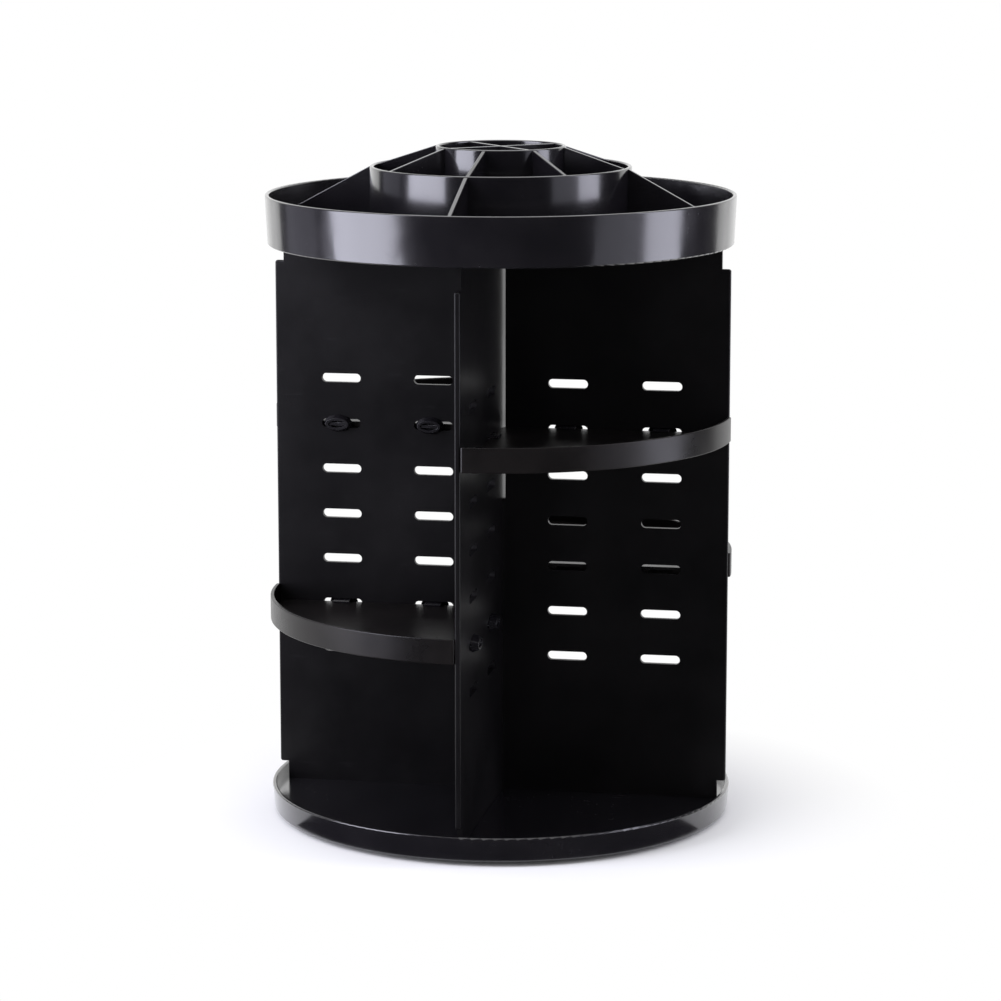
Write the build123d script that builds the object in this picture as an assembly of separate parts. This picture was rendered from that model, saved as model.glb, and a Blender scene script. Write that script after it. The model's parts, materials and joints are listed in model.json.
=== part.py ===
from build123d import *
import math
import os

# Rotating vanity organizer: a round base turns on a ball race over a fixed foot disc,
# two slotted panels stand in it as a cross and carry quarter-round trays on push clips,
# and a three-tier round tray sits over the panel tops.
# Millimetres. Z is up, the origin is on the resting surface at the turning axis, and the
# panels lie along X (side panel) and Y (front panel).

os.makedirs("parts", exist_ok=True)

seat_gap = 0.1
edge_round = 0.8

# Foot disc and rubber pads
foot_radius = 88.0
foot_bottom = 0.9
foot_thick = 1.8
pad_count = 6
pad_radius = 6.0
pad_ring_radius = 74.0
pad_pocket_deep = 0.5
pad_fit = 0.1

# Ball race between foot and base
ball_count = 24
ball_radius = 1.5
ball_play = 0.05
race_ring_radius = 66.0
race_width = 16.0
lower_race_high = 0.7
lower_track_deep = 0.6
upper_track_deep = 0.7
track_side_play = 0.25
race_roof = 1.1
cage_thick = 1.0
cage_width = 12.0
cage_hole_play = 0.06

# Pivot: a boss under the base turns in the foot's hub, held by a washer and screw
boss_radius = 5.94
boss_play = 0.06
hub_radius = 14.0
hub_skin = 1.5
hub_clear = 0.6
hub_end_play = 0.2
washer_radius = 9.0
washer_thick = 0.8
screw_radius = 1.5
screw_fit = 0.05
screw_reach = 2.6
screw_head_radius = 3.2
screw_head_high = 1.2
screw_slot_wide = 0.9
screw_slot_deep = 0.6

# Base tray
base_floor_thick = 2.0
base_skirt_deep = 4.5
base_rim_high = 11.5
base_wall = 2.2
base_rim_clear = 2.1
base_flare = 1.0
groove_deep = 1.8
groove_skin = 1.2
groove_cheek = 1.6
groove_fit = 0.15

# Cross panels
panel_reach = 112.0
panel_thick = 2.6
panel_high = 275.6
notch_deep = 4.3
lower_notch_high = 10.2
upper_notch_high = 13.4
half_lap_high = 147.5
half_lap_play = 1.2
panel_corner = 1.2

# Slots in the panels
slot_length = 19.5
slot_height = 4.4
slot_inner_radius = 33.3
slot_outer_radius = 79.3
top_row_high = 204.9
row_pitch = 22.5
row_count = 7

# Quarter-round trays
tray_overhang = 1.0
tray_high = 11.9
tray_wall = 2.0
tray_floor = 1.4
tray_floor_above_row = 0.65
tray_skirt = 2.5
tray_rib = 1.2
tray_gap = 0.2
tray_rim_corner = 1.2
tray_inner_corner = 3.0
tray_hollow_corner = 1.0
tray_edge_round = 0.5

# Push clips
clip_head_long = 14.0
clip_head_high = 8.6
clip_head_thick = 3.4
clip_head_taper = 22.0
clip_dish_deep = 2.4
clip_dish_wall = 1.2
clip_bar_thick = 1.5
clip_width = 8.0
clip_tip_chamfer = 0.5
clip_slot_play = 0.3
clip_barb_high = 1.0
clip_barb_long = 1.9
clip_barb_gap = 0.2
clip_tip_room = 0.6
clip_shift = 1.6

# Three-tier top tray
top_floor_thick = 2.0
top_skirt_deep = 2.5
top_rim_high = 23.7
top_rim_clear = 2.8
top_wall = 2.0
top_flare = 1.15
rib_thick = 1.5
rib_deep = 2.2
rib_gap = 0.25
rib_start = 8.0
rib_end_clear = 3.7
divider_turn = -4.7
middle_ring_radius = 63.1
middle_ring_wall = 2.0
middle_ring_high = 32.5
centre_ring_radius = 31.4
centre_ring_wall = 1.8
centre_ring_high = 42.2
outer_divider_count = 4
outer_divider_thick = 2.0
outer_divider_end_high = 6.5
middle_divider_count = 8
middle_divider_thick = 1.8
divider_drop = 0.4
cross_thick = 1.6

# Heights and radii worked out from the values above, from the foot upwards
foot_top = foot_bottom + foot_thick
track_half = ball_radius + track_side_play
lower_track_z = foot_top + lower_race_high - lower_track_deep
ball_z = lower_track_z + ball_play + ball_radius
upper_track_z = ball_z + ball_radius + ball_play
race_inner = race_ring_radius - race_width / 2
race_outer = race_ring_radius + race_width / 2

base_floor_bottom = upper_track_z + race_roof
base_floor_top = base_floor_bottom + base_floor_thick
base_rim_bottom = base_floor_bottom - base_skirt_deep
base_rim_top = base_rim_bottom + base_rim_high
groove_floor = base_floor_top - groove_deep
channel_bottom = groove_floor - groove_skin
foot_reach = panel_reach - notch_deep
base_inner = foot_reach + base_rim_clear

hub_bore = boss_radius + boss_play
hub_top = channel_bottom - hub_clear
hub_bottom = hub_top - hub_skin
boss_bottom = hub_bottom - hub_end_play
washer_bottom = boss_bottom - washer_thick
screw_bottom = washer_bottom - screw_head_high

panel_half = panel_thick / 2
panel_bottom = groove_floor + seat_gap
panel_top = panel_bottom + panel_high
lower_ledge_z = panel_bottom + lower_notch_high
upper_ledge_z = panel_top - upper_notch_high
half_lap_z = panel_bottom + half_lap_high
top_row_z = panel_bottom + top_row_high

clip_prong_reach = slot_height / 2 - clip_slot_play
upper_prong_low = tray_floor_above_row + seat_gap
lower_prong_high = tray_floor_above_row - tray_floor - seat_gap
tray_floor_top = tray_skirt + tray_floor
tray_row_line = tray_floor_top - tray_floor_above_row
tray_reach = panel_reach + tray_overhang
clip_barb = panel_half + tray_gap + tray_wall + clip_barb_gap
clip_tip = clip_barb + clip_barb_long
window_half = clip_width / 2 + clip_shift + clip_slot_play

top_floor_bottom = panel_top + seat_gap
top_floor_top = top_floor_bottom + top_floor_thick
top_rim_bottom = top_floor_bottom - top_skirt_deep
top_rim_top = top_rim_bottom + top_rim_high
top_foot_radius = foot_reach + top_rim_clear + top_wall
top_rim_radius = top_foot_radius + top_flare
middle_ring_inner = middle_ring_radius - middle_ring_wall
middle_ring_top = top_floor_top + middle_ring_high
centre_ring_inner = centre_ring_radius - centre_ring_wall
centre_ring_top = top_floor_top + centre_ring_high
outer_divider_end_z = top_floor_top + outer_divider_end_high


def disc(radius, z_low, z_high, bore=0.0):
    face = Circle(radius)
    if bore > 0:
        face -= Circle(bore)
    return Pos(0, 0, z_low) * extrude(face, z_high - z_low)


def lathe(points):
    # turns a closed outline of (radius, height) points about Z
    return revolve(Plane.XZ * make_face(Polyline(*points, close=True)), Axis.Z)


def block(x_low, x_high, y_low, y_high, z_low, z_high):
    size = (x_high - x_low, y_high - y_low, z_high - z_low)
    middle = ((x_low + x_high) / 2, (y_low + y_high) / 2, (z_low + z_high) / 2)
    return Pos(*middle) * Box(*size)


def round_circles(solid, z, radius, least=0.0):
    # rounds the circular edges at one height whose radius is above the least
    circles = solid.edges().filter_by(GeomType.CIRCLE).filter_by_position(Axis.Z, z - 0.01, z + 0.01)
    return fillet([edge for edge in circles if edge.radius > least], radius)


def ring_places(radius, count):
    for step in range(count):
        turn = 2 * math.pi * step / count
        yield radius * math.cos(turn), radius * math.sin(turn)


def group(shapes):
    return Compound(children=[solid for shape in shapes for solid in shape.solids()])


# Foot, race and pivot

def make_foot_disc():
    hub_inner = hub_radius - hub_skin
    foot = lathe([
        (hub_bore, hub_bottom),
        (hub_inner, hub_bottom),
        (hub_inner, foot_bottom),
        (foot_radius, foot_bottom),
        (foot_radius, foot_top),
        (hub_radius, foot_top),
        (hub_radius, hub_top),
        (hub_bore, hub_top),
    ])
    foot = round_circles(foot, foot_top, edge_round, foot_radius - 1)
    foot += disc(race_outer, foot_top, foot_top + lower_race_high, race_inner)
    foot -= disc(race_ring_radius + track_half, lower_track_z, foot_top + lower_race_high,
                 race_ring_radius - track_half)
    pocket = Cylinder(pad_radius + pad_fit, 2 * pad_pocket_deep)
    for x, y in ring_places(pad_ring_radius, pad_count):
        foot -= Pos(x, y, foot_bottom) * pocket
    return foot


def make_foot_pads():
    pad = round_circles(extrude(Circle(pad_radius), foot_bottom + pad_pocket_deep), 0.0, edge_round / 2)
    return group(Pos(x, y, 0) * pad for x, y in ring_places(pad_ring_radius, pad_count))


def make_ball_cage():
    low = ball_z - cage_thick / 2
    cage = disc(race_ring_radius + cage_width / 2, low, low + cage_thick,
                race_ring_radius - cage_width / 2)
    hole = Cylinder(ball_radius + cage_hole_play, 2 * cage_thick)
    for x, y in ring_places(race_ring_radius, ball_count):
        cage -= Pos(x, y, ball_z) * hole
    return cage


def make_bearing_balls():
    ball = Sphere(ball_radius)
    return group(Pos(x, y, ball_z) * ball for x, y in ring_places(race_ring_radius, ball_count))


def make_pivot_screw():
    screw = disc(screw_head_radius, screw_bottom, washer_bottom)
    screw = round_circles(screw, screw_bottom, edge_round / 2)
    screw += disc(screw_radius, washer_bottom, boss_bottom + screw_reach)
    reach, half = screw_head_radius, screw_slot_wide / 2
    slot = block(-reach, reach, -half, half, screw_bottom, screw_bottom + screw_slot_deep)
    return screw - slot - Rot(0, 0, 90) * slot


def make_pivot_washer():
    return disc(washer_radius, washer_bottom, boss_bottom, screw_radius + screw_fit)


# Base

def make_base_tray():
    base = lathe([
        (0, base_floor_bottom),
        (base_inner, base_floor_bottom),
        (base_inner, base_rim_bottom),
        (base_inner + base_wall, base_rim_bottom),
        (base_inner + base_flare + base_wall, base_rim_top),
        (base_inner + base_flare, base_rim_top),
        (base_inner + base_flare, base_floor_top),
        (0, base_floor_top),
    ])
    base = round_circles(base, base_rim_top, edge_round)
    base = round_circles(base, base_rim_bottom, edge_round, base_inner + base_wall / 2)
    base += disc(race_outer, upper_track_z - upper_track_deep, base_floor_bottom, race_inner)
    base -= disc(race_ring_radius + track_half, upper_track_z - upper_track_deep, upper_track_z,
                 race_ring_radius - track_half)

    groove_half = panel_half + groove_fit
    cheek_half = groove_half + groove_cheek
    groove_end = foot_reach + groove_fit
    channel = block(-groove_end, groove_end, -cheek_half, cheek_half, channel_bottom, base_floor_bottom)
    groove = block(-groove_end, groove_end, -groove_half, groove_half, groove_floor, base_floor_top)
    base += channel + Rot(0, 0, 90) * channel
    base -= groove + Rot(0, 0, 90) * groove
    base += disc(boss_radius, boss_bottom, base_floor_bottom)
    base -= disc(screw_radius + screw_fit, boss_bottom, boss_bottom + screw_reach + seat_gap)
    return base


# Panels

def slot_places():
    for row in range(row_count):
        for radius in (slot_inner_radius, slot_outer_radius):
            for side in (-1, 1):
                yield side * radius, top_row_z - row * row_pitch


def upright(half_wide, z_low, z_high):
    return Pos(0, (z_low + z_high) / 2) * Rectangle(2 * half_wide, z_high - z_low)


def make_panel(lap_opens_up):
    # a full-width panel in the XZ plane, its half-lap open at the top or at the bottom
    sheet = upright(panel_reach, lower_ledge_z, upper_ledge_z)
    sheet += upright(foot_reach, panel_bottom, panel_top)
    outer_corners = [corner for corner in sheet.vertices() if abs(corner.X) > panel_reach - 0.01]
    sheet = fillet(outer_corners, panel_corner)
    lap_half = panel_half + half_lap_play
    if lap_opens_up:
        sheet -= upright(lap_half, half_lap_z, panel_top)
    else:
        sheet -= upright(lap_half, panel_bottom, half_lap_z)
    for x, z in slot_places():
        sheet -= Pos(x, z) * SlotOverall(slot_length, slot_height)
    panel = extrude(Plane.XZ * sheet, panel_half, both=True)
    side_edges = [edge for edge in panel.edges().filter_by(Axis.Z)
                  if abs(edge.center().X) > panel_reach - 0.01]
    return fillet(side_edges, edge_round)


# Trays and clips

def tray_outline(reach, gap, rim_corner, inner_corner):
    side = reach - gap
    quarter = Circle(reach) & Pos(gap + side / 2, gap + side / 2) * Rectangle(side, side)
    near = [corner for corner in quarter.vertices() if corner.X < 2 * gap and corner.Y < 2 * gap]
    quarter = fillet(near, inner_corner)
    far = [corner for corner in quarter.vertices() if math.hypot(corner.X, corner.Y) > reach - 0.5]
    return fillet(far, rim_corner)


def tray_bottom(row):
    return top_row_z - (row - 1) * row_pitch - tray_row_line


def make_tray(row):
    # a tray for the quadrant between +X and +Y: a floor level with the slots of a row, a rim
    # round its curved side, and below the floor a skirt with windows for the clips and a rib
    # behind them along both straight sides
    gap = panel_half + tray_gap
    outer = tray_outline(tray_reach, gap, tray_rim_corner, tray_inner_corner)
    hollow = tray_outline(tray_reach - tray_wall, gap + tray_wall, tray_hollow_corner, tray_hollow_corner)
    rib_middle = clip_tip + clip_tip_room + tray_rib / 2
    hollow -= Pos(tray_reach / 2, rib_middle) * Rectangle(tray_reach, tray_rib)
    hollow -= Pos(rib_middle, tray_reach / 2) * Rectangle(tray_rib, tray_reach)
    tray = extrude(outer, tray_high)
    tray -= disc(tray_reach - tray_wall, tray_floor_top, 2 * tray_high)
    tray = fillet(tray.faces().sort_by(Axis.Z)[-1].edges(), tray_edge_round)
    tray = fillet(tray.faces().sort_by(Axis.Z)[0].edges(), tray_edge_round)
    tray -= extrude(hollow, tray_skirt)
    window = block(-window_half, window_half, -tray_wall, tray_wall + clip_barb_gap,
                   tray_row_line - slot_height / 2, tray_skirt)
    for radius in (slot_inner_radius, slot_outer_radius):
        tray -= Pos(radius, gap, 0) * window
        tray -= Pos(gap, radius, 0) * Rot(0, 0, -90) * window
    return Pos(0, 0, tray_bottom(row)) * tray


def make_clip():
    # one clip about a slot's centre: dished head towards -Y, prongs and barbs towards +Y
    seat = panel_half + seat_gap
    narrowing = clip_head_thick * math.tan(math.radians(clip_head_taper))
    head = loft([Plane.XZ.offset(seat) * Ellipse(clip_head_long / 2, clip_head_high / 2),
                 Plane.XZ.offset(seat + clip_head_thick)
                 * Ellipse(clip_head_long / 2 - narrowing, clip_head_high / 2 - narrowing)])
    inset = clip_dish_wall + narrowing
    dish = extrude(Plane.XZ.offset(seat + clip_head_thick - clip_dish_deep)
                   * Ellipse(clip_head_long / 2 - inset, clip_head_high / 2 - inset), clip_dish_deep)
    bar_front = seat + clip_head_thick - clip_dish_wall / 2
    bar = block(-clip_head_long / 2, clip_head_long / 2, -bar_front, -seat,
                -clip_bar_thick / 2, clip_bar_thick / 2)
    head -= dish - bar

    # the prongs go over and under a tray's floor, and the lower one's barb hooks its skirt
    upper = make_face(Polyline((-seat, upper_prong_low), (clip_tip, upper_prong_low),
                               (clip_tip, clip_prong_reach - clip_tip_chamfer),
                               (clip_tip - clip_tip_chamfer, clip_prong_reach),
                               (-seat, clip_prong_reach), close=True))
    lower = make_face(Polyline((-seat, lower_prong_high), (clip_tip, lower_prong_high),
                               (clip_tip, clip_barb_high / 2 - clip_prong_reach),
                               (clip_barb, -clip_prong_reach - clip_barb_high),
                               (clip_barb, -clip_prong_reach), (-seat, -clip_prong_reach), close=True))
    for side in (upper, lower):
        head += extrude(Plane.YZ * side, clip_width / 2, both=True)
    return head


def make_clips(row, turn, shift, first_radii):
    # push clips of one tray: those in the panel along its own X, then two in the other panel
    z = top_row_z - (row - 1) * row_pitch
    clip = make_clip()
    placed = [turn * Pos(radius + shift, 0, z) * clip for radius in first_radii]
    for radius in (slot_inner_radius, slot_outer_radius):
        placed.append(turn * Pos(0, radius + shift, z) * Rot(0, 0, -90) * clip)
    return group(placed)


# Top tray

def rim_radius_at(z):
    return top_foot_radius + top_flare * (z - top_rim_bottom) / top_rim_high


def make_top_tray():
    tray = lathe([
        (0, top_floor_bottom),
        (rim_radius_at(top_floor_bottom) - top_wall, top_floor_bottom),
        (top_foot_radius - top_wall, top_rim_bottom),
        (top_foot_radius, top_rim_bottom),
        (top_rim_radius, top_rim_top),
        (top_rim_radius - top_wall, top_rim_top),
        (rim_radius_at(top_floor_top) - top_wall, top_floor_top),
        (0, top_floor_top),
    ])
    tray = round_circles(tray, top_rim_top, edge_round)
    tray = round_circles(tray, top_rim_bottom, edge_round, top_foot_radius - top_wall / 2)
    rib_low = panel_half + rib_gap
    rib = block(rib_start, foot_reach - rib_end_clear, rib_low, rib_low + rib_thick,
                top_floor_bottom - rib_deep, top_floor_bottom)
    for turn in range(0, 360, 90):
        tray += Rot(0, 0, turn) * (rib + mirror(rib, Plane.XZ))
    return tray


def make_ring(radius, inner, top):
    return round_circles(disc(radius, top_floor_top, top, inner), top, edge_round)


def make_dividers(count, thick, inner_radius, inner_z, outer_radius, outer_z, inside):
    # upright walls with sloping tops from one ring to the next, trimmed to the space between
    over = 2 * thick
    slope = (outer_z - inner_z) / (outer_radius - inner_radius)
    side = make_face(Polyline((inner_radius - over, top_floor_top), (outer_radius + over, top_floor_top),
                              (outer_radius + over, outer_z + slope * over),
                              (inner_radius - over, inner_z - slope * over), close=True))
    wall = extrude(Plane.XZ * side, thick / 2, both=True)
    return group((Rot(0, 0, divider_turn + 360 * step / count) * wall) & inside for step in range(count))


def make_outer_dividers():
    inside = lathe([
        (middle_ring_radius, top_floor_top),
        (rim_radius_at(top_floor_top) - top_wall, top_floor_top),
        (top_rim_radius - top_wall, top_rim_top),
        (top_rim_radius - top_wall, centre_ring_top),
        (middle_ring_radius, centre_ring_top),
    ])
    return make_dividers(outer_divider_count, outer_divider_thick,
                         middle_ring_radius, middle_ring_top - divider_drop,
                         rim_radius_at(outer_divider_end_z) - top_wall, outer_divider_end_z, inside)


def make_middle_dividers():
    inside = disc(middle_ring_inner, top_floor_top, centre_ring_top, centre_ring_radius)
    return make_dividers(middle_divider_count, middle_divider_thick,
                         centre_ring_radius, centre_ring_top - divider_drop,
                         middle_ring_inner, middle_ring_top - divider_drop, inside)


def make_centre_cross():
    half = cross_thick / 2
    arm = block(-centre_ring_radius, centre_ring_radius, -half, half,
                top_floor_top, centre_ring_top - divider_drop)
    cross = arm + Rot(0, 0, 90) * arm
    cross = Rot(0, 0, divider_turn + 360 / middle_divider_count) * cross
    return cross & disc(centre_ring_inner, top_floor_top, centre_ring_top)


# All pieces. Each quadrant has its quarter turns from the one between +X and +Y, the slot row
# of its tray, how far its clips sit outwards in their slots and the clipped slots of one panel.
both_slots = (slot_inner_radius, slot_outer_radius)
quadrants = {
    "back_right": (0, 5, 0.0, ()),
    "back_left": (1, 2, clip_shift, both_slots),
    "front_left": (2, 6, 0.0, both_slots),
    "front_right": (3, 2, 0.0, both_slots),
}

pieces = {
    "foot_disc": make_foot_disc(),
    "foot_pads": make_foot_pads(),
    "ball_cage": make_ball_cage(),
    "bearing_balls": make_bearing_balls(),
    "pivot_screw": make_pivot_screw(),
    "pivot_washer": make_pivot_washer(),
    "base_tray": make_base_tray(),
    "side_panel": make_panel(True),
    "front_panel": Rot(0, 0, 90) * make_panel(False),
    "top_tray": make_top_tray(),
    "outer_dividers": make_outer_dividers(),
    "middle_ring": make_ring(middle_ring_radius, middle_ring_inner, middle_ring_top),
    "middle_dividers": make_middle_dividers(),
    "centre_ring": make_ring(centre_ring_radius, centre_ring_inner, centre_ring_top),
    "centre_cross": make_centre_cross(),
}
for place, (quarters, row, shift, first_radii) in quadrants.items():
    turn = Rot(0, 0, 90 * quarters)
    pieces["tray_" + place] = turn * make_tray(row)
    pieces["clips_" + place] = make_clips(row, turn, shift, first_radii)

for name, piece in pieces.items():
    export_step(piece, f"parts/{name}.step")
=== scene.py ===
import bpy, bmesh, json, math
from mathutils import Matrix, Vector


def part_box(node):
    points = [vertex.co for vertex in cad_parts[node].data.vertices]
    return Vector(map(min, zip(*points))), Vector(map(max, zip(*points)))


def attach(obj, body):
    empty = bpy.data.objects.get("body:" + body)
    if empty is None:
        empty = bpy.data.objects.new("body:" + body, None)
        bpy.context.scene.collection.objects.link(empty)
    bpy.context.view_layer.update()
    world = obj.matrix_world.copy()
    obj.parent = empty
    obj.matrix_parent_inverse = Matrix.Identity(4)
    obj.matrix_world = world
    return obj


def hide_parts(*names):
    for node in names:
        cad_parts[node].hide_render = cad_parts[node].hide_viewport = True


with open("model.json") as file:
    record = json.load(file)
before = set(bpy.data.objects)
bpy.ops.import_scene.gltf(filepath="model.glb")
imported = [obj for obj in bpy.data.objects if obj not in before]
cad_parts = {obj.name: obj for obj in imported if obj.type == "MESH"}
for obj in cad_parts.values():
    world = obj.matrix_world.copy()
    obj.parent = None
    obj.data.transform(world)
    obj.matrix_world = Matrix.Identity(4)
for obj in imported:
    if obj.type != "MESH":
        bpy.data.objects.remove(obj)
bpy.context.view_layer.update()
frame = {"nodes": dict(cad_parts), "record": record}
bodyOf = {node: body for body, nodes in frame["record"]["behaviour"]["bodies"].items() for node in nodes}
mm = 0.001
print("frame loaded,", len(frame["nodes"]), "nodes")


# --- shader and geometry node helpers

class Sock:  # a socket that can be used in sums
    def __init__(self, tree, link):
        self.tree, self.link = tree, link

    def combine(self, operation, first, second):
        return self.tree.add("Math", {"operation": operation}, {0: first, 1: second})

    def __add__(self, other): return self.combine("ADD", self, other)
    def __radd__(self, other): return self.combine("ADD", other, self)
    def __sub__(self, other): return self.combine("SUBTRACT", self, other)
    def __rsub__(self, other): return self.combine("SUBTRACT", other, self)
    def __mul__(self, other): return self.combine("MULTIPLY", self, other)
    def __rmul__(self, other): return self.combine("MULTIPLY", other, self)
    def __gt__(self, other): return self.combine("GREATER_THAN", self, other)

    def spread(self, fromLow, fromHigh, toLow, toHigh):  # remaps and clamps
        return self.tree.add("MapRange", {"clamp": True},
                             {0: self, 1: fromLow, 2: fromHigh, 3: toLow, 4: toHigh})


class Tree:
    def __init__(self, tree, family):
        self.tree, self.family = tree, family

    def raw(self, kind, settings=None, values=None):
        node = self.tree.nodes.new(kind)
        for key, value in (settings or {}).items():
            setattr(node, key, value)
        for key, value in (values or {}).items():
            if isinstance(value, Sock):
                self.tree.links.new(value.link, node.inputs[key])
            else:
                node.inputs[key].default_value = value
        return node

    def add(self, kind, settings=None, values=None, out=0):
        full = kind if kind.startswith(("Geometry", "Shader", "Node", "Function")) else self.family + kind
        if kind in ("Math", "MapRange", "VectorMath"):
            full = "ShaderNode" + kind
        return Sock(self, self.raw(full, settings, values).outputs[out])


def colour(red, green, blue):
    return (red, green, blue, 1.0)


# --- materials

def newMaterial(name):
    material = bpy.data.materials.new(name)
    material.use_nodes = True
    material.node_tree.nodes.clear()
    return material, Tree(material.node_tree, "ShaderNode")


wear = {  # where clouds, scratches and dust start and end in their noises, and what dust looks like
    "cloudFrom": 0.32, "cloudTo": 0.7, "tintFrom": 0.35, "dustyFrom": 0.5, "dustyTo": 0.62,
    "scratchTurn": (0.3, 0.2, 0.7), "scratchFrom": 0.66, "scratchTo": 0.72, "dustCore": 0.05, "dustEdge": 0.09,
    "dustRough": 0.25, "dustColour": (0.16, 0.15, 0.15), "depth": 0.0002,
}


def mouldedPlastic(name, look):
    # moulded plastic: cloudy gloss from handling, fine scratches, dust and the mould's own skin
    material, tree = newMaterial(name)
    place = tree.add("TexCoord", out="Object")
    cloud = tree.add("TexNoise", {}, {"Vector": place, "Scale": look["cloudScale"], "Detail": 4.0,
                                      "Roughness": 0.6})
    long = tree.add("Mapping", {}, {"Vector": place, "Scale": look["scratchStretch"],
                                    "Rotation": wear["scratchTurn"]})
    scratch = tree.add("TexNoise", {}, {"Vector": long, "Scale": look["scratchScale"], "Detail": 2.0})
    scratch = scratch.spread(wear["scratchFrom"], wear["scratchTo"], 0.0, 1.0)
    skin = tree.add("TexNoise", {}, {"Vector": place, "Scale": look["skinScale"], "Detail": 3.0})
    dust = tree.add("TexVoronoi", {"feature": "F1"}, {"Vector": place, "Scale": look["dustScale"]})
    dust = (dust.spread(wear["dustCore"], wear["dustEdge"], 1.0, 0.0)
            * cloud.spread(wear["dustyFrom"], wear["dustyTo"], 0.0, 1.0))
    rough = cloud.spread(wear["cloudFrom"], wear["cloudTo"], look["roughLow"], look["roughHigh"])
    rough = rough + scratch * look["scratchRough"] + dust * wear["dustRough"]
    tint = tree.add("Mix", {"data_type": "RGBA"}, {0: cloud.spread(wear["tintFrom"], wear["cloudTo"], 0.0, 1.0),
                    6: colour(*look["tintDark"]), 7: colour(*look["tintLight"])}, out=2)
    tint = tree.add("Mix", {"data_type": "RGBA"}, {0: dust * look["dustShow"], 6: tint,
                    7: colour(*wear["dustColour"])}, out=2)
    height = skin * look["skinHeight"] - scratch * look["scratchDepth"]
    bump = tree.add("Bump", {}, {"Strength": look["bump"], "Distance": wear["depth"], "Height": height})
    shader = tree.add("BsdfPrincipled", {}, {"Base Color": tint, "Roughness": rough, "IOR": look["ior"],
                      "Specular IOR Level": look["specular"], "Coat Weight": look["coat"],
                      "Coat Roughness": look["coatRough"], "Normal": bump})
    tree.raw("ShaderNodeOutputMaterial", {}, {"Surface": shader})
    return material


glossLook = {
    "tintDark": (0.006, 0.0055, 0.007), "tintLight": (0.011, 0.010, 0.012), "roughLow": 0.10, "roughHigh": 0.20,
    "cloudScale": 26.0, "scratchScale": 60.0, "scratchStretch": (1.0, 22.0, 9.0), "scratchRough": 0.10,
    "scratchDepth": 0.12, "skinScale": 420.0, "skinHeight": 0.35, "bump": 0.05, "dustScale": 260.0,
    "dustShow": 0.10, "ior": 1.55, "specular": 0.5, "coat": 0.8, "coatRough": 0.21,
}
satinLook = dict(glossLook, tintDark=(0.004, 0.0037, 0.0042), tintLight=(0.008, 0.0072, 0.0078), roughLow=0.30,
                 roughHigh=0.42, cloudScale=14.0, skinScale=1600.0, skinHeight=0.8, bump=0.16, coat=0.0,
                 specular=0.22, dustShow=0.06)
trayLook = dict(glossLook, tintDark=(0.006, 0.0052, 0.0052), tintLight=(0.013, 0.0108, 0.0102), roughLow=0.26,
                roughHigh=0.38, coat=0.06, specular=0.24, scratchRough=0.03, scratchDepth=0.03)
clipLook = dict(glossLook, roughLow=0.20, roughHigh=0.32, coat=0.2, skinScale=1100.0)
feltLook = dict(satinLook, tintDark=(0.02, 0.02, 0.021), tintLight=(0.035, 0.035, 0.036), roughLow=0.55,
                roughHigh=0.72, specular=0.4)
rubberLook = dict(feltLook, tintDark=(0.03, 0.03, 0.03), tintLight=(0.06, 0.06, 0.06), roughLow=0.75,
                  roughHigh=0.9)
nylonLook = dict(feltLook, tintDark=(0.62, 0.60, 0.54), tintLight=(0.76, 0.74, 0.68), roughLow=0.40,
                 roughHigh=0.52, dustShow=0.3)


plating = {"filmScale": 300.0, "filmFrom": 0.3, "filmTo": 0.7, "markRough": 0.05, "depth": 0.00004}


def platedMetal(name, look):
    # turned or plated steel: circular tool marks about the axis and a cloudy film
    material, tree = newMaterial(name)
    place = tree.add("TexCoord", out="Object")
    film = tree.add("TexNoise", {}, {"Vector": place, "Scale": plating["filmScale"], "Detail": 3.0})
    marks = tree.add("TexWave", {"wave_type": "RINGS", "rings_direction": "Z"},
                     {"Vector": place, "Scale": look["markScale"], "Distortion": 0.6, "Detail": 2.0}, out=1)
    tint = tree.add("Mix", {"data_type": "RGBA"}, {0: film, 6: colour(*look["dark"]),
                    7: colour(*look["light"])}, out=2)
    rough = (film.spread(plating["filmFrom"], plating["filmTo"], look["roughLow"], look["roughHigh"])
             + marks * plating["markRough"])
    bump = tree.add("Bump", {}, {"Strength": look["bump"], "Distance": plating["depth"], "Height": marks})
    shader = tree.add("BsdfPrincipled", {}, {"Base Color": tint, "Metallic": 1.0, "Roughness": rough,
                      "Normal": bump})
    tree.raw("ShaderNodeOutputMaterial", {}, {"Surface": shader})
    return material


ballLook = {"markScale": 900.0, "dark": (0.55, 0.55, 0.57), "light": (0.72, 0.72, 0.74), "roughLow": 0.05,
            "roughHigh": 0.12, "bump": 0.05}
screwLook = {"markScale": 1500.0, "dark": (0.46, 0.46, 0.48), "light": (0.66, 0.66, 0.69), "roughLow": 0.22,
             "roughHigh": 0.36, "bump": 0.3}
materials = {
    "body_black": mouldedPlastic("bodyBlack", glossLook),
    "panel_black": mouldedPlastic("panelBlack", satinLook),
    "tray_black": mouldedPlastic("trayBlack", trayLook),
    "clip_black": mouldedPlastic("clipBlack", clipLook),
    "underside_black": mouldedPlastic("undersideBlack", feltLook),
    "pad_rubber": mouldedPlastic("padRubber", rubberLook),
    "cage_nylon": mouldedPlastic("cageNylon", nylonLook),
    "ball_steel": platedMetal("ballSteel", ballLook),
    "screw_steel": platedMetal("screwSteel", screwLook),
}
slotOf = {entry["node"]: entry["material_slot"] for entry in frame["record"]["subparts"]}
print("materials made,", len(materials))


# --- meshes taken from the frame's nodes

joining = {"weld": 2e-6, "flat": 0.4}  # metres between doubled points, degrees between flat faces


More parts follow.
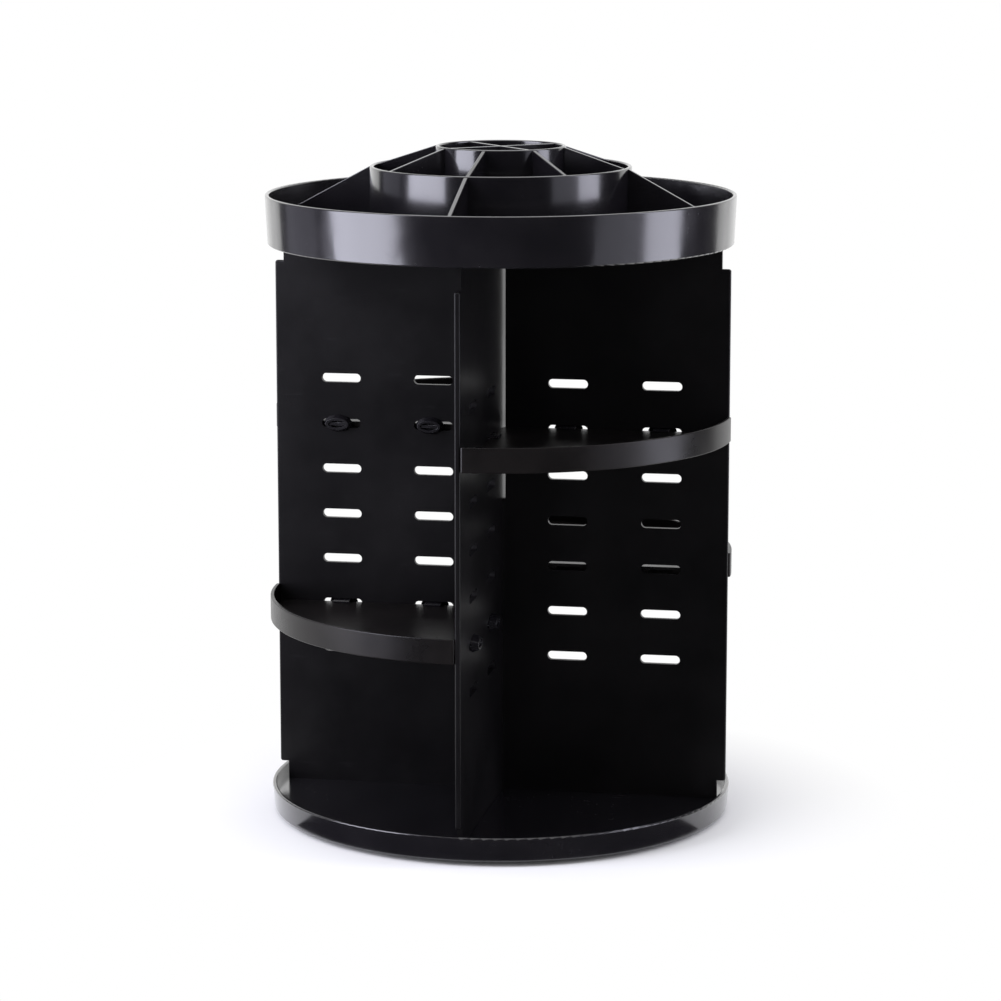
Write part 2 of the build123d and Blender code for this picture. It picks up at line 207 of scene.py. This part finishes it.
def meshFrom(node):  # a welded copy of a node, flat areas joined back into single faces
    work = bmesh.new()
    work.from_mesh(frame["nodes"][node].data)
    bmesh.ops.remove_doubles(work, verts=work.verts, dist=joining["weld"])
    bmesh.ops.dissolve_limit(work, angle_limit=math.radians(joining["flat"]), verts=work.verts, edges=work.edges)
    return work


def solidMiddle(solid):
    middle = sum((vert.co for vert in solid), Vector()) / len(solid)
    return tuple(round(value, 5) for value in middle)


def onlyFirstSolid(work):  # keeps the closed solid with the lowest middle along X, then Y, then Z
    left, solids = set(work.verts), []
    while left:
        todo, solid = [left.pop()], []
        while todo:
            vert = todo.pop()
            solid.append(vert)
            for edge in vert.link_edges:
                other = edge.other_vert(vert)
                if other in left:
                    left.remove(other)
                    todo.append(other)
        solids.append(solid)
    keep = set(min(solids, key=solidMiddle))
    bmesh.ops.delete(work, geom=[v for v in work.verts if v not in keep], context="VERTS")


def addObject(name, work):
    mesh = bpy.data.meshes.new(name)
    work.to_mesh(mesh)
    work.free()
    piece = bpy.data.objects.new(name, mesh)
    bpy.context.collection.objects.link(piece)
    return piece


def plainMesh(piece):  # the evaluated shape becomes the mesh and the modifiers go
    made = bpy.data.meshes.new_from_object(piece.evaluated_get(bpy.context.evaluated_depsgraph_get()))
    piece.modifiers.clear()
    piece.data = made
    made.name = piece.name
    return piece


def softenEdges(piece, edges):
    bevel = piece.modifiers.new("softEdges", "BEVEL")
    bevel.width, bevel.segments, bevel.limit_method = edges["width"] * mm, edges["steps"], "ANGLE"
    bevel.angle_limit, bevel.harden_normals = math.radians(edges["angle"]), False
    bevel.use_clamp_overlap = True
    for polygon in piece.data.polygons:
        polygon.use_smooth = True
    even = piece.modifiers.new("evenShade", "WEIGHTED_NORMAL")
    even.keep_sharp, even.weight = True, 100
    return plainMesh(piece)


def finish(piece, node):
    material = materials[slotOf[node]]
    piece.data.materials.clear()
    piece.data.materials.append(material)
    piece.data.polygons.foreach_set("material_index", [0] * len(piece.data.polygons))
    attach(piece, bodyOf[node])
    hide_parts(node)


# --- geometry node trees

def newShapeTree(name, inputs):
    group = bpy.data.node_groups.new(name, "GeometryNodeTree")
    group.interface.new_socket(name="Shape", in_out="OUTPUT", socket_type="NodeSocketGeometry")
    for label, kind in inputs:
        group.interface.new_socket(name=label, in_out="INPUT", socket_type="NodeSocket" + kind)
    tree = Tree(group, "GeometryNode")
    entry = tree.raw("NodeGroupInput")
    return tree, {label: Sock(tree, entry.outputs[label]) for label, _ in inputs}


def closeShapeTree(tree, shape, material):
    real = tree.add("RealizeInstances", {}, {0: shape})
    coated = tree.add("SetMaterial", {}, {"Geometry": real, "Material": material})
    tree.raw("NodeGroupOutput", {}, {0: coated})
    return tree.tree


def runShapeTree(name, group, values):
    piece = bpy.data.objects.new(name, bpy.data.meshes.new(name))
    bpy.context.collection.objects.link(piece)
    modifier = piece.modifiers.new(name, "NODES")
    modifier.node_group = group
    for item in group.interface.items_tree:
        if item.in_out == "INPUT":
            modifier[item.identifier] = values[item.name]
    return plainMesh(piece)


def aroundAxisTree():  # copies of one shape turned about the axis
    tree, given = newShapeTree("aroundAxis", [("Source", "Object"), ("Count", "Int"), ("Radius", "Float"),
                                              ("First Turn", "Float"), ("Finish", "Material")])
    ring = tree.add("MeshCircle", {"fill_type": "NONE"}, {"Vertices": given["Count"], "Radius": given["Radius"]})
    step = tree.add("Math", {"operation": "DIVIDE"}, {0: 2 * math.pi, 1: given["Count"]})
    turn = tree.add("InputIndex") * step + given["First Turn"]
    turns = tree.add("ShaderNodeCombineXYZ", {}, {"Z": turn})
    source = tree.add("ObjectInfo", {}, {"Object": given["Source"]}, out="Geometry")
    copies = tree.add("InstanceOnPoints", {}, {"Points": ring, "Instance": source, "Rotation": turns})
    return closeShapeTree(tree, copies, given["Finish"])


def sweptRingTree():  # a wall profile carried round a circle
    tree, given = newShapeTree("sweptRing", [("Profile", "Object"), ("Radius", "Float"), ("Steps", "Int"),
                                             ("Finish", "Material")])
    path = tree.add("CurvePrimitiveCircle", {}, {"Radius": given["Radius"], "Resolution": given["Steps"]})
    profile = tree.add("ObjectInfo", {}, {"Object": given["Profile"]}, out="Geometry")
    wall = tree.add("CurveToMesh", {}, {"Curve": path, "Profile Curve": profile})
    return closeShapeTree(tree, wall, given["Finish"])


def clipPlacesTree():  # one clip at each marked slot, turned to face out of its panel
    tree, given = newShapeTree("clipPlaces", [("Source", "Object"), ("Places", "Object"),
                                              ("Finish", "Material")])
    places = tree.add("ObjectInfo", {}, {"Object": given["Places"]}, out="Geometry")
    turn = tree.add("InputNamedAttribute", {"data_type": "FLOAT"}, {"Name": "turn"})
    turns = tree.add("ShaderNodeCombineXYZ", {}, {"Z": turn})
    source = tree.add("ObjectInfo", {}, {"Object": given["Source"]}, out="Geometry")
    copies = tree.add("InstanceOnPoints", {}, {"Points": places, "Instance": source, "Rotation": turns})
    return closeShapeTree(tree, copies, given["Finish"])


aroundAxis, sweptRing, clipPlaces = aroundAxisTree(), sweptRingTree(), clipPlacesTree()


def shift(work, move):
    bmesh.ops.translate(work, verts=work.verts, vec=move)


def turnAbout(work, degrees):
    bmesh.ops.rotate(work, verts=work.verts, cent=(0, 0, 0),
                     matrix=Matrix.Rotation(math.radians(degrees), 3, "Z"))


def azimuth(work):
    middle = sum((vert.co for vert in work.verts), Vector()) / len(work.verts)
    return math.degrees(math.atan2(middle.y, middle.x))


def repeatAround(node, name, count, edges, radius=0.0):
    # one of the node's solids, softened, then copied round the axis
    work = meshFrom(node)
    onlyFirstSolid(work)
    angle = azimuth(work)
    turnAbout(work, -angle)
    firstTurn = math.radians(angle % (360 / count))
    if radius:  # the circle's own points give the places
        shift(work, (-radius, 0, 0))
        firstTurn = 0.0
    source = softenEdges(addObject(name + "Source", work), edges)
    piece = runShapeTree(name, aroundAxis, {"Source": source, "Count": count, "Radius": radius,
                                            "First Turn": firstTurn, "Finish": materials[slotOf[node]]})
    bpy.data.objects.remove(source)
    finish(piece, node)


# --- plates and panels

plateEdges = {
    "side_panel": {"width": 0.25, "steps": 3, "angle": 40},
    "front_panel": {"width": 0.25, "steps": 3, "angle": 40},
    "base_tray": {"width": 0.2, "steps": 2, "angle": 40},
    "top_tray": {"width": 0.2, "steps": 2, "angle": 40},
    "tray_front_left": {"width": 0.2, "steps": 2, "angle": 40},
    "tray_front_right": {"width": 0.2, "steps": 2, "angle": 40},
    "tray_back_left": {"width": 0.2, "steps": 2, "angle": 40},
    "tray_back_right": {"width": 0.2, "steps": 2, "angle": 40},
    "foot_disc": {"width": 0.15, "steps": 2, "angle": 40},
    "ball_cage": {"width": 0.1, "steps": 2, "angle": 40},
    "centre_cross": {"width": 0.35, "steps": 3, "angle": 40},
    "pivot_screw": {"width": 0.08, "steps": 2, "angle": 40},
    "pivot_washer": {"width": 0.12, "steps": 2, "angle": 40},
}
for node, edges in plateEdges.items():
    finish(softenEdges(addObject(node + "_shell", meshFrom(node)), edges), node)
print("plates and trays done")


# --- rings of the top tray

ringSizes = {"steps": 288, "lipSteps": 5, "lip": 0.8, "wall": {"middle_ring": 2.0, "centre_ring": 1.8},
             "sharp": 40}  # lip and walls in mm


def makeRing(node):
    low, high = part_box(node)
    wall = ringSizes["wall"][node] * mm
    lip, steps = ringSizes["lip"] * mm, ringSizes["lipSteps"]
    points = [(-wall, low[2]), (0.0, low[2])]
    for step in range(steps + 1):
        bend = math.pi / 2 * step / steps
        points.append((-lip + lip * math.cos(bend), high[2] - lip + lip * math.sin(bend)))
    for step in range(steps + 1):
        bend = math.pi / 2 * step / steps
        points.append((-wall + lip - lip * math.sin(bend), high[2] - lip + lip * math.cos(bend)))
    curve = bpy.data.curves.new(node + "Profile", "CURVE")
    curve.dimensions = "3D"
    line = curve.splines.new("POLY")
    line.points.add(len(points) - 1)
    for point, (out, up) in zip(line.points, points):
        point.co = (out, -up, 0, 1)
    line.use_cyclic_u = True
    profile = bpy.data.objects.new(node + "Profile", curve)
    bpy.context.collection.objects.link(profile)
    piece = runShapeTree(node + "_wall", sweptRing, {"Profile": profile, "Radius": high[0],
                         "Steps": ringSizes["steps"], "Finish": materials[slotOf[node]]})
    bpy.data.objects.remove(profile)
    sharp = bmesh.new()
    sharp.from_mesh(piece.data)
    for face in sharp.faces:
        face.smooth = True
    for edge in sharp.edges:
        edge.smooth = edge.calc_face_angle(0) < math.radians(ringSizes["sharp"])
    sharp.to_mesh(piece.data)
    sharp.free()
    finish(piece, node)


for node in ringSizes["wall"]:
    makeRing(node)
dividers = {"outer": 4, "middle": 8, "edges": {"width": 0.35, "steps": 3, "angle": 40}}
for ring in ("outer", "middle"):
    repeatAround(ring + "_dividers", ring + "_divider_walls", dividers[ring], dividers["edges"])
print("rings and dividers done")


# --- pads, balls and clips

def middleHeight(box):
    low, high = box
    return (low[2] + high[2]) / 2


padSizes = {"count": 6, "ring": 74.0, "edges": {"width": 0.12, "steps": 2, "angle": 40}}
ballSizes = {"count": 24, "ring": 66.0, "radius": 1.5, "detail": 3}
repeatAround("foot_pads", "rubber_pads", padSizes["count"], padSizes["edges"], padSizes["ring"] * mm)

ballMesh = bmesh.new()
bmesh.ops.create_icosphere(ballMesh, subdivisions=ballSizes["detail"], radius=ballSizes["radius"] * mm)
for face in ballMesh.faces:
    face.smooth = True
shift(ballMesh, (0, 0, middleHeight(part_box("bearing_balls"))))
ballSource = addObject("ballSource", ballMesh)
balls = runShapeTree("race_balls", aroundAxis, {"Source": ballSource, "Count": ballSizes["count"],
                     "Radius": ballSizes["ring"] * mm, "First Turn": 0.0, "Finish": materials["ball_steel"]})
bpy.data.objects.remove(ballSource)
finish(balls, "bearing_balls")

clipSizes = {"inner": 33.3, "outer": 79.3, "slide": 1.6, "edges": {"width": 0.22, "steps": 2, "angle": 35}}
clipQuadrants = {  # quarter turns, shift outwards, slots used along the tray's first panel
    "back_right": (0, 0.0, ()),
    "back_left": (1, clipSizes["slide"], ("inner", "outer")),
    "front_left": (2, 0.0, ("inner", "outer")),
    "front_right": (3, 0.0, ("inner", "outer")),
}


def clipSource():  # the back right tray's clip nearest the axis, moved to the origin and turned back
    work = meshFrom("clips_back_right")
    onlyFirstSolid(work)
    shift(work, (0, -clipSizes["inner"] * mm, -middleHeight(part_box("clips_back_right"))))
    turnAbout(work, 90)
    return softenEdges(addObject("clipSource", work), clipSizes["edges"])


oneClip = clipSource()
for place, (quarters, slide, firstSlots) in clipQuadrants.items():
    node = "clips_" + place
    height = middleHeight(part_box(node))
    quarter = Matrix.Rotation(math.radians(90 * quarters), 3, "Z")
    spots = [(quarter @ Vector(((clipSizes[key] + slide) * mm, 0, 0)), 90 * quarters) for key in firstSlots]
    spots += [(quarter @ Vector((0, (clipSizes[key] + slide) * mm, 0)), 90 * quarters - 90)
              for key in ("inner", "outer")]
    points = bpy.data.meshes.new(node + "Places")
    points.from_pydata([(spot.x, spot.y, height) for spot, _ in spots], [], [])
    turns = points.attributes.new("turn", "FLOAT", "POINT")
    turns.data.foreach_set("value", [math.radians(angle) for _, angle in spots])
    holder = bpy.data.objects.new(node + "Places", points)
    bpy.context.collection.objects.link(holder)
    piece = runShapeTree(node + "_set", clipPlaces, {"Source": oneClip, "Places": holder,
                                                     "Finish": materials["clip_black"]})
    bpy.data.objects.remove(holder)
    finish(piece, node)
bpy.data.objects.remove(oneClip)
print("pads, balls and clips done")


# --- studio

cameraPlace = {  # place in mm, angles in degrees, focus in pixels, sensor in mm, near and far in metres
    "at": (308.96, -1694.6, 468.8), "down": 10.374, "turn": 10.339, "focus": 3578.24, "pixels": 1001,
    "sensor": 36.0, "near": 0.05, "far": 50.0,
}
camera = bpy.data.objects.new("camera", bpy.data.cameras.new("camera"))
bpy.context.collection.objects.link(camera)
camera.location = Vector(cameraPlace["at"]) * mm
camera.rotation_euler = (math.radians(90 - cameraPlace["down"]), 0, math.radians(cameraPlace["turn"]))
camera.data.sensor_width = cameraPlace["sensor"]
camera.data.lens = cameraPlace["focus"] * cameraPlace["sensor"] / cameraPlace["pixels"]
camera.data.clip_start, camera.data.clip_end = cameraPlace["near"], cameraPlace["far"]
bpy.context.scene.camera = camera
bpy.context.scene.view_settings.view_transform = "Standard"

studio = {  # metres and degrees; angles run from the camera's side towards the right
    "frontAngle": -79.66, "sideTint": (0.86, 0.86, 1.0), "sideUp": 0.02,
    "boxes": {
        "leftBox": {"angle": -66, "away": 0.72, "wide": 0.48, "high": 0.95, "level": 6.2},
        "leftWash": {"angle": -108, "away": 0.74, "wide": 0.34, "high": 0.90, "level": 0.36},
        "rightBox": {"angle": 80, "away": 0.74, "wide": 0.30, "high": 0.90, "level": 4.2},
        "rightWash": {"angle": 56, "away": 0.76, "wide": 0.34, "high": 0.90, "level": 0.7},
    },
    "topBox": {"at": (0, 0.25, 1.25), "toward": (0, 0, 0.3), "wide": 0.95, "level": 1.1,
               "tint": (0.97, 0.97, 1.0)},
    "cards": {  # sector, then the radius and height of both edges
        "dark_card": {"from": -130, "to": 124, "edges": ((0.92, 0.002), (0.92, 1.5))},
        "dark_floor_card": {"from": -66, "to": 62, "edges": ((0.90, 0.0006), (0.1165, 0.0006))},
    },
    "cardSteps": 48, "cardColour": (0.012, 0.012, 0.013),
    "paper": {"radius": 14.0, "steps": 96, "colour": (0.97, 0.97, 0.95), "grain": 700.0, "bump": 0.05,
              "depth": 0.0002, "shadowStart": 0.118, "shadowReach": 0.20},
    "worldTint": (0.98, 0.98, 1.0), "worldDiffuse": 0.62, "background": 1.0,
}


def backgroundRays(tree):  # 1 where the camera, a reflection or glass sees the background
    light = tree.raw("ShaderNodeLightPath")
    seen = [Sock(tree, light.outputs[name])
            for name in ("Is Camera Ray", "Is Glossy Ray", "Is Transmission Ray")]
    return (seen[0] + seen[1] + seen[2]) > 0.5


def studioWorld():  # dim light from all round, plain white where the background is seen
    world = bpy.data.worlds.new("studioWorld")
    bpy.context.scene.world = world
    world.use_nodes = True
    world.node_tree.nodes.clear()
    tree = Tree(world.node_tree, "ShaderNode")
    plain = tree.add("Background", {}, {"Color": colour(*studio["worldTint"]),
                                        "Strength": studio["worldDiffuse"]})
    white = tree.add("Background", {}, {"Color": colour(1, 1, 1), "Strength": studio["background"]})
    both = tree.add("MixShader", {}, {0: backgroundRays(tree), 1: plain, 2: white})
    tree.raw("ShaderNodeOutputWorld", {}, {"Surface": both})


def paperFloor():  # white paper that keeps the base's shadow and glows white further out
    sheet, disc = studio["paper"], bmesh.new()
    bmesh.ops.create_circle(disc, cap_ends=True, segments=sheet["steps"], radius=sheet["radius"])
    floor = addObject("studio_floor", disc)
    material, tree = newMaterial("floorPaper")
    place = tree.add("TexCoord", out="Object")
    away = tree.add("VectorMath", {"operation": "LENGTH"}, {0: place}, out="Value")
    far = away.spread(sheet["shadowStart"], sheet["shadowReach"], 0.0, 1.0)
    grain = tree.add("TexNoise", {}, {"Vector": place, "Scale": sheet["grain"], "Detail": 3.0})
    bump = tree.add("Bump", {}, {"Strength": sheet["bump"], "Distance": sheet["depth"], "Height": grain})
    paper = tree.add("BsdfDiffuse", {}, {"Color": colour(*sheet["colour"]), "Normal": bump})
    glow = tree.add("Emission", {}, {"Color": colour(1, 1, 1), "Strength": 1.0})
    mixed = tree.add("MixShader", {}, {0: far * backgroundRays(tree), 1: paper, 2: glow})
    tree.raw("ShaderNodeOutputMaterial", {}, {"Surface": mixed})
    floor.data.materials.append(material)


def darkCloth():
    material, tree = newMaterial("cardCloth")
    shader = tree.add("BsdfDiffuse", {}, {"Color": colour(*studio["cardColour"])})
    tree.raw("ShaderNodeOutputMaterial", {}, {"Surface": shader})
    return material


def darkCard(name, card, cloth):  # a dark strip round the front, seen only in reflections
    strip, steps, rails = bmesh.new(), studio["cardSteps"], []
    for step in range(steps + 1):
        turn = math.radians(studio["frontAngle"] + card["from"] + (card["to"] - card["from"]) * step / steps)
        rails.append([strip.verts.new((reach * math.cos(turn), reach * math.sin(turn), up))
                      for reach, up in card["edges"]])
    for last, this in zip(rails, rails[1:]):
        strip.faces.new((last[0], this[0], this[1], last[1]))
    dark = addObject(name, strip)
    dark.data.materials.append(cloth)
    dark.visible_camera = dark.visible_diffuse = dark.visible_shadow = False


def softBox(name, at, toward, wide, high, level, tint):
    lamp = bpy.data.lights.new(name, "AREA")
    lamp.shape, lamp.size, lamp.size_y = "RECTANGLE", wide, high
    lamp.energy, lamp.color = level * math.pi * wide * high, tint
    box = bpy.data.objects.new(name, lamp)
    bpy.context.collection.objects.link(box)
    box.location = at
    box.rotation_euler = (Vector(toward) - Vector(at)).to_track_quat("-Z", "Y").to_euler()
    box.visible_camera = False


studioWorld()
paperFloor()
cardCloth = darkCloth()
for name, card in studio["cards"].items():
    darkCard(name, card, cardCloth)
for name, side in studio["boxes"].items():
    turn = math.radians(studio["frontAngle"] + side["angle"])
    at = (side["away"] * math.cos(turn), side["away"] * math.sin(turn), side["high"] / 2 + studio["sideUp"])
    softBox(name, at, (0, 0, at[2]), side["wide"], side["high"], side["level"], studio["sideTint"])
top = studio["topBox"]
softBox("topBox", top["at"], top["toward"], top["wide"], top["wide"], top["level"], top["tint"])
print("studio done")
